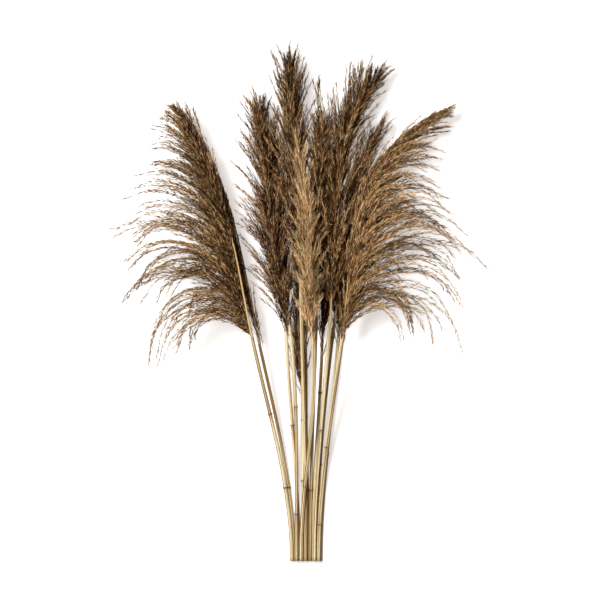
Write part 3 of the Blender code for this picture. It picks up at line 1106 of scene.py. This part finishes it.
    def strands(self, draw: Draw) -> list[Strand]:
        """Each packed branch as a smooth line, with finer ones beside it and between it and the stalk.

        Args:
            draw: the source of chance.

        Returns:
            The strands.
        """
        growth = self.growth
        made = []
        for branch, line in zip(self.branches, self.gathered(draw)):
            height = float(np.linalg.norm(line[0] - self.stalk_line[0])) / self.whole
            length = branch.length()
            if growth.tip_fan < 1:
                length = min(length, self.whole * (1 - height) + self.tip_room)
            brightest = 1 - growth.dim_top * height
            light = draw.uniform(0, brightest)
            start, over = self.closing_at
            fan = growth.fan * (1 + (growth.tip_fan - 1) * min(max((height - start) / over, 0.0), 1.0))
            if fan < 1:
                runs = np.linspace(0, length, self.strand_points)
                part = fan * (along_path(line, runs) - line[0])
                line = line[0] + part + (1 - fan) * self.stalk_from(line[0], runs)
            line = line[0] + (line - line[0]) * (1 + growth.gain * bell(height, *self.gain_at))
            made.append(Strand(line, light, 1.0))
            made += self.fellow_strands(line, length, light, brightest, draw)
        made += self.cloak_strands(draw) + self.tuft_strands(draw)
        return [replace(strand, line=self.eased(strand.line)) for strand in made]

    def fellow_strands(
        self, line: Array, length: float, light: float, brightest: float, draw: Draw
    ) -> list[Strand]:
        """Finer strands beside a branch, and between it and the stalk.

        Args:
            line: the branch's line.
            length: how long they may be.
            light: how light the branch is.
            brightest: how light they may be.
            draw: the source of chance.

        Returns:
            The strands.
        """
        growth = self.growth
        reach = np.linspace(0, 1, self.strand_points)[:, None]
        way = unit(line[-1:] - line[:1])[0]
        low = 1 - min(1.0, float(np.linalg.norm(line[0] - self.stalk_line[0])) / self.low_part)
        made = []
        for index in range(growth.companions + growth.body):
            beside = index < growth.companions
            share = draw.uniform(growth.shortest, 1.0) if beside else draw.uniform(*self.body_share)
            out = draw.uniform(*self.beside_out) * growth.fan if beside else draw.uniform(*self.body_out)
            runs = reach[:, 0] * share * length
            part = out * (along_path(line, runs) - line[0]) + (1 - out) * self.stalk_from(line[0], runs)
            aside = draw.normal(0, 1, 3)
            aside -= (aside @ way) * way
            wander = growth.lock if beside else growth.spread
            part = line[0] + part + aside * wander * share * length * reach**self.wander_curve
            if not beside and index % 3 == 2:
                part[:, 2] *= 1 - self.sag * reach[:, 0]
            shift = draw.uniform(-self.slide, self.slide) * MM * (1 - growth.gather * reach)
            part = part + self.ahead * (shift - growth.low_drop * low * draw.uniform(0.1, 1))
            tone = light + draw.normal(0, self.tone_spread) if beside else draw.uniform(0, brightest)
            made.append(Strand(part, float(np.clip(tone, 0, 1)), out))
        return made

    def leave(self, share: float, length: float) -> tuple[Array, Array]:
        """A place on the stalk, and the way that the stalk leads on from there."""
        root = along_path(self.stalk_line, np.array([share * self.whole]))[0]
        return root, self.stalk_from(root, np.linspace(0, 1, self.short_points) * length)

    def cloak_strands(self, draw: Draw) -> list[Strand]:
        """Short strands all round the stalk that keep close to it and hide it.

        Args:
            draw: the source of chance.

        Returns:
            The strands.
        """
        growth = self.growth
        reach = np.linspace(0, 1, self.short_points)[:, None]
        made = []
        for index in range(growth.cloak):
            share = ((index + draw.uniform(0, 1)) / growth.cloak) ** self.cloak_curve
            share = growth.cloaked_from + (self.cloak_top - growth.cloaked_from) * share
            above = max(share, 0.0)
            length = draw.uniform(*self.cloak_length) * MM * (1 - self.cloak_taper * above)
            root, way = self.leave(above, length)
            root = root + unit(way[1:2])[0] * min(share, 0.0) * self.whole
            level, upright = crosswise(unit(way[-1:]))
            turn = index * GOLDEN_ANGLE + draw.normal(0, 0.5)
            out = math.cos(turn) * level + math.sin(turn) * upright
            least, most = growth.opening
            most += growth.foot_opening * math.exp(-above / self.foot_fade)
            opening = math.tan(math.radians(draw.uniform(least, most)))
            part = root + way + out * (self.cloak_lift + opening * length * reach**1.15)
            made.append(Strand(part, draw.uniform(0, 1), 0.25))
        return made

    def tuft_strands(self, draw: Draw) -> list[Strand]:
        """Longer strands that leave the upper part of the stalk on one side and widen the top.

        Args:
            draw: the source of chance.

        Returns:
            The strands.
        """
        growth = self.growth
        reach = np.linspace(0, 1, self.short_points)[:, None]
        made = []
        for _ in range(growth.tuft):
            share = draw.uniform(*growth.tuft_from)
            length = draw.uniform(*self.tuft_length) * MM
            length = min(length, self.whole * (1 - share) * draw.uniform(0.8, 1.1) + self.tuft_room)
            root, way = self.leave(share, length)
            ahead = unit(way[-1:])[0]
            side = growth.tuft_side or float(draw.choice((-1.0, 1.0)))
            aside = np.array([side, 0.0, draw.normal(0, 0.35)])
            aside = unit((aside - (aside @ ahead) * ahead)[None])[0]
            opening = math.tan(math.radians(growth.tuft_opening * draw.uniform(0.3, 1)))
            part = root + way + aside * (opening * length * reach**1.1)
            made.append(Strand(part, draw.uniform(0, 1), 0.8))
        return made

    def clothe(self, batch: MeshBatch, strand: Strand, draw: Draw) -> None:
        """Clothe one strand with spikelets and hairs.

        Args:
            batch: where they go.
            strand: the strand.
            draw: the source of chance.
        """
        growth = self.growth
        line = strand.line
        length = run_lengths(line)[-1]
        spikelets = max(4, int(length * (1 - self.bare) / growth.spacing))
        count = spikelets + int(spikelets * growth.hairs)
        hair = np.arange(count) >= spikelets
        share = (np.arange(count) % spikelets + draw.uniform(0, 1, count)) / spikelets
        share = np.where(hair, draw.uniform(self.bare, 1, count), self.bare + (1 - self.bare) * share)
        here = np.clip(share * length, MM, length - MM)
        place = along_path(line, share * length)
        ahead = unit(along_path(line, here + MM) - along_path(line, here - MM))
        level, upright = crosswise(ahead)
        turn = np.arange(count) * GOLDEN_ANGLE + draw.normal(0, 0.6, count)
        out = np.cos(turn)[:, None] * level + np.sin(turn)[:, None] * upright
        lean = draw.uniform(*growth.lean, count)
        lean += growth.outer_lean * strand.out * draw.uniform(0, 1, count) ** 1.5
        lean = np.radians(np.where(hair, draw.uniform(*self.hair_lean, count), lean))
        heading = np.cos(lean)[:, None] * ahead + np.sin(lean)[:, None] * out
        hair_long, hair_thick = (np.where(hair, size, 1.0) for size in self.hair_size)
        taper = np.clip(1.15 - 0.36 * share * strand.out, 0.3, 1.1)
        lengths = growth.long * draw.uniform(*self.husk_long, count) * taper * hair_long
        radii = growth.thick * draw.uniform(*self.husk_thick, count) * hair_thick * (1 - 0.12 * share)
        foothold = draw.uniform(0.1, 1.0, count) * self.foothold * MM * (1 - 0.7 * share)
        roots = place + out * foothold[:, None]
        pale = draw.uniform(0, 1, count) < growth.pale_share * (0.4 + 1.2 * strand.light)
        own = np.where(pale, draw.uniform(*self.pale_tones, count), draw.uniform(*self.plain_tones, count))
        # Painted shade: this mark is low deep in the plume and near the stalk, where core shifts it, and high
        # at the outer tips.
        painted_depth_shade = np.clip(share * (0.25 + 0.75 * strand.out) + growth.core * (1 - strand.out), -1, 1)
        own = np.maximum(own, self.least_tone * painted_depth_shade)
        chance = np.clip(own + (strand.light - 0.5) * self.lock_tone + growth.shade, 0, 1)
        chance = np.where(hair & (draw.uniform(0, 1, count) < self.silk_share), self.silk_mark, chance)
        batch.add_spindles(roots, unit(heading), lengths, radii, np.column_stack([painted_depth_shade, chance]))

    def build(
        self, stalk_finish: Material, husk_finish: Material, draw: Draw
    ) -> tuple[Item, Item]:
        """Build the plume.

        Args:
            stalk_finish: the material of the stalk and the threads.
            husk_finish: the material of the spikelets.
            draw: the source of chance.

        Returns:
            The stalk's piece and the spikelets' piece.
        """
        wood = MeshBatch()
        line = self.stalk_line
        line = np.vstack([line[0] - unit(line[1:2] - line[:1])[0] * self.tuck, line])
        runs = run_lengths(line)
        reach = runs / runs[-1]
        slim = min(self.base_radius * self.base_share, self.most_thick)
        radii = slim * (0.45 + 0.55 * (1 - reach)) * (1 - 0.75 * reach**3)
        radii += (self.base_radius - slim) * np.exp(-runs / self.base_fade)
        marks = np.column_stack([np.clip(reach * 1.1, 0, 0.8), np.full(len(line), 0.5), reach])
        wood.add_tube(line, radii, self.stalk_sides, marks, draw.uniform(0, 9))
        husks = MeshBatch()
        for strand in self.strands(draw):
            ways = unit(np.diff(strand.line, axis=0))
            turn = math.degrees(math.acos(float(np.clip(ways[0] @ ways[-1], -1, 1))))
            least, most = self.thread_points
            share = np.linspace(0, 1, int(np.clip(least + turn / self.turn_each, least, most)))
            path = along_path(strand.line, share * run_lengths(strand.line)[-1])
            marks = np.column_stack([0.45 + 0.45 * share, np.full(len(share), strand.light), share])
            radii = self.thread * (1 - self.thread_taper * share)
            wood.add_tube(path, radii, self.thread_sides, marks, draw.uniform(0, 9))
            self.clothe(husks, strand, draw)
        top = self.stalk_line[len(self.stalk_line) // 2 :]
        self.clothe(husks, Strand(top, 0.6, 0.4), draw)
        return (
            wood.piece(f"stalk_{self.number:02d}", stalk_finish),
            husks.piece(f"spikelets_{self.number:02d}", husk_finish),
        )


# Where it is seen


@dataclass(frozen=True)
class Lamp:
    """A soft area light that points at the bundle."""

    name: str
    place: tuple[float, float, float]
    size: float
    watts: float
    colour: Colour = (1.0, 1.0, 1.0)

    def make(self) -> Item:
        """Make the light.

        Returns:
            The new light.
        """
        data = bpy.data.lights.new(self.name, "AREA")
        data.size = self.size
        data.energy = self.watts
        data.color = self.colour
        item = in_scene(self.name, data)
        item.location = self.place
        item.rotation_euler = (-Vector(self.place)).to_track_quat("-Z", "Y").to_euler()
        return item


@dataclass(frozen=True)
class Studio:
    """The pale floor, the soft light and the camera that looks straight down."""

    lamps: tuple[Lamp, ...]
    sky: float = 0.14
    sky_colour: Colour = (1.0, 0.87, 0.77)
    floor_size: float = 12.0
    photo_width: float = 0.84
    photo_middle: Pair = (1.19 * MM, 4.36 * MM)
    lens: float = 200.0
    sensor: float = 36.0
    focus_height: float = 30 * MM
    farthest: float = 50.0

    def build_floor(self) -> Item:
        """A large level sheet under the bundle.

        Returns:
            The floor.
        """
        half = self.floor_size / 2
        mesh = bpy.data.meshes.new("floor")
        corners = [(-half, -half, 0), (half, -half, 0), (half, half, 0), (-half, half, 0)]
        mesh.from_pydata(corners, [], [(0, 1, 2, 3)])
        mesh.materials.append(FloorFinish().make())
        return in_scene("floor", mesh)

    def build_sky(self) -> None:
        """An even surround, a little warm."""
        world = bpy.data.worlds.new("soft_surround")
        world.use_nodes = True
        shade = world.node_tree.nodes["Background"]
        shade.inputs["Color"].default_value = (*self.sky_colour, 1.0)
        shade.inputs["Strength"].default_value = self.sky
        bpy.context.scene.world = world

    def build_camera(self) -> Item:
        """A long lens far above, so that the bundle is seen almost without perspective.

        Returns:
            The camera.
        """
        data = bpy.data.cameras.new("camera")
        data.lens = self.lens
        data.sensor_width = self.sensor
        data.clip_end = self.farthest
        camera = in_scene("camera", data)
        distance = self.photo_width * self.lens / self.sensor
        camera.location = (*self.photo_middle, self.focus_height + distance)
        bpy.context.scene.camera = camera
        return camera

    def build(self) -> None:
        """Set up all of it."""
        self.build_floor()
        self.build_sky()
        for lamp in self.lamps:
            lamp.make()
        self.build_camera()
        bpy.context.scene.view_settings.view_transform = "Standard"


# The bundle


CANE_SKIN = CaneFinish(
    "cane_skin",
    pale=(1.0, 0.86, 0.54),
    tan=(0.275, 0.147, 0.043),
    joint=(0.08, 0.036, 0.012),
    pith=(0.50, 0.36, 0.19),
    # painted shade for the cane's sides where they turn away from the eye
    side_shade=(0.16, 0.082, 0.02),
)

STALKS = {
    Slot.GOLDEN: StalkFinish("golden_stalk", base=(0.74, 0.50, 0.22), tip=(0.24, 0.13, 0.055)),
    Slot.BROWN: StalkFinish("brown_stalk", base=(0.66, 0.44, 0.20), tip=(0.15, 0.08, 0.04)),
    Slot.DARK: StalkFinish("dark_stalk", base=(0.58, 0.38, 0.18), tip=(0.10, 0.05, 0.028)),
}

SILK = (0.62, 0.45, 0.29)

HUSKS = {
    slot: HuskFinish(f"{slot.value}_husks", dark, middle, light, SILK)
    for slot, dark, middle, light in (
        (Slot.GOLDEN, (0.034, 0.014, 0.004), (0.25, 0.128, 0.044), (0.76, 0.52, 0.27)),
        (Slot.BROWN, (0.026, 0.010, 0.003), (0.175, 0.084, 0.031), (0.64, 0.42, 0.215)),
        (Slot.DARK, (0.022, 0.008, 0.003), (0.160, 0.072, 0.028), (0.60, 0.38, 0.20)),
    )
}
# The bright husks are painted light for plumes 2 and 7, which lie in the shade of others, and give plume 6
# its paler golden colour.
BRIGHT_HUSKS = HuskFinish(
    "bright_husks", (0.05, 0.024, 0.009), (0.40, 0.235, 0.105), (0.90, 0.66, 0.38), SILK, lightness=0.08
)
BRIGHT_PLUMES = (2, 6, 7)

LEFT = Growth(
    3, 3, 46, spread=0.07, spacing=2.75 * MM, long=11.5 * MM, thick=0.72 * MM, core=-0.6, cloaked_from=0.28,
    low_drop=34 * MM, lock=0.025, shortest=0.65, gain=-0.08, pale_share=0.25, tuft=34, tuft_opening=15,
    tuft_from=(0.45, 0.9), tip_fan=0.4, gather=0.8, raised=30 * MM, raised_at=(0.54, 0.26), lowest=-22 * MM,
    lowest_to=0.15, under=3.5 * MM, outer_lean=19, shade=-0.06, dim_top=0.7, opening=(3, 7), beyond=18 * MM,
    sway=(0, -2, -2, -2, -1),
)
RIGHT = Growth(
    3, 4, 54, spread=0.07, spacing=2.95 * MM, long=11.5 * MM, thick=0.7 * MM, core=0.3, cloaked_from=-0.04,
    low_drop=32 * MM, lock=0.025, gain=-0.1, pale_share=0.45, tuft=18, tuft_side=-1.0, tuft_opening=10,
    tip_fan=0.1, gather=0.8, raised=24 * MM, raised_at=(0.38, 0.24), lowest=-22 * MM, outer_lean=19,
    shade=0.05, sway=(1, 0, 0, -5, -3),
)
SLIM = Growth(
    1, 3, 34, spread=0.03, spacing=2.8 * MM, long=11 * MM, thick=0.65 * MM, fan=0.22, cloaked_from=-0.02,
    pale_share=0.4, opening=(2, 5), foot_opening=9, outer_lean=5, shade=-0.12, dim_top=0.5,
    sway=(3, -3, -4, -2, 0),
)
MIDDLE = Growth(
    2, 4, 46, spread=0.09, spacing=2.6 * MM, long=12.5 * MM, thick=0.67 * MM, fan=1.1, cloaked_from=-0.07,
    low_drop=36 * MM, gather=0.4, raised=-12 * MM, lowest=-14 * MM, shade=-0.06,
)
RUST = replace(MIDDLE, sway=(-4, -6, -1, 3, 5))
GOLD = Growth(
    2, 5, 50, spread=0.07, spacing=2.45 * MM, long=12.5 * MM, thick=0.58 * MM, core=0.5, cloaked_from=-0.02,
    pale_share=0.46, low_drop=14 * MM, shade=0.04,
)
TALL = Growth(
    2, 4, 44, spread=0.1, spacing=2.65 * MM, long=12.5 * MM, thick=0.66 * MM, fan=1.15, tuft=84,
    tuft_opening=20, tuft_from=(0.2, 0.78), outer_lean=9, shade=-0.09, dim_top=0.4, beyond=40 * MM,
    sway=(0, 0, -1, -1, 0),
)
BROAD = Growth(
    2, 4, 36, spread=0.1, spacing=2.7 * MM, long=12.5 * MM, thick=0.66 * MM, fan=1.15, tuft=80,
    tuft_side=-1.0, tuft_opening=32, tuft_from=(0.38, 0.88), core=0.1, outer_lean=9, shade=-0.11,
    dim_top=0.5, sway=(0, 0, -1, -2, 2), beyond=10 * MM,
)
NARROW = Growth(
    2, 3, 20, spread=0.07, spacing=2.7 * MM, long=12.5 * MM, thick=0.62 * MM, fan=0.65, pale_share=0.45,
    outer_lean=9, tuft=14, tuft_side=-1.0, tuft_opening=14, tuft_from=(0.3, 0.7), shade=0.06,
    sway=(0, -2, -6, -10, -11),
)
BEHIND = Growth(
    4, 5, 48, spread=0.12, spacing=3.6 * MM, long=14 * MM, thick=0.76 * MM, cloaked_from=-0.07,
    low_drop=16 * MM, core=0.3, hairs=0.15, pale_share=0.2, shade=-0.05,
)
TAIL = Growth(
    4, 5, 60, spread=0.08, spacing=2.6 * MM, long=12 * MM, thick=0.55 * MM, cloaked_from=-0.02,
    pale_share=0.3, foot_opening=9, shade=-0.1,
)

GROWTHS = (
    LEFT, SLIM, BEHIND, RUST, BEHIND, GOLD, TAIL, TALL, MIDDLE, BEHIND, BROAD, NARROW, BEHIND, RIGHT,
)

TANS = (0.08, 0.26, 0.00, 0.16, 0.42, -0.04, 0.46, 0.06, 0.34, 0.30, 0.00, 0.42, 0.24, 0.20)

STUDIO = Studio(
    lamps=(
        Lamp("key_light", (-1.15, 0.75, 2.9), 0.85, 118.0),
        Lamp("side_light", (-2.2, 0.6, 1.9), 1.6, 20.0),
        Lamp("fill_light", (1.8, -1.2, 2.4), 2.0, 3.0),
    )
)


def slot_of(node: str) -> Slot:
    """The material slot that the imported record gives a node."""
    names = {row["node"]: row["material_slot"] for row in frame["record"]["subparts"]}
    return Slot(names[node])


def set_in_place(piece: Item, node: str) -> None:
    """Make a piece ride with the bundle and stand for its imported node.

    Args:
        piece: the piece.
        node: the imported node.
    """
    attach(piece, "root")
    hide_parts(node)
    log.info("%s stands for %s with %d triangles", piece.name, node, len(piece.data.polygons))


def main() -> None:
    """Build every piece of the bundle in order, then the studio."""
    logging.basicConfig(level=logging.INFO, format="%(message)s")
    effects = Effects.make()
    skin = CANE_SKIN.make(effects)
    stalks = {slot: finish.make(effects) for slot, finish in STALKS.items()}
    husks = {slot: finish.make(effects) for slot, finish in HUSKS.items()}
    bright = BRIGHT_HUSKS.make(effects)
    total = 0
    for number, (tan, growth) in enumerate(zip(TANS, GROWTHS), start=1):
        draw = np.random.default_rng(FIRST_SEED + number)
        cane = Cane(number, tan).build(skin, draw)
        set_in_place(cane, f"culm_{number:02d}")
        node = f"plume_{number:02d}"
        slot = slot_of(node)
        husk = bright if number in BRIGHT_PLUMES else husks[slot]
        stalk, spikelets = Plume(number, growth).build(stalks[slot], husk, draw)
        set_in_place(stalk, node)
        set_in_place(spikelets, node)
        total += sum(len(piece.data.polygons) for piece in (cane, stalk, spikelets))
    log.info("all pieces: %d triangles", total)
    STUDIO.build()


if __name__ == "__main__":
    main()
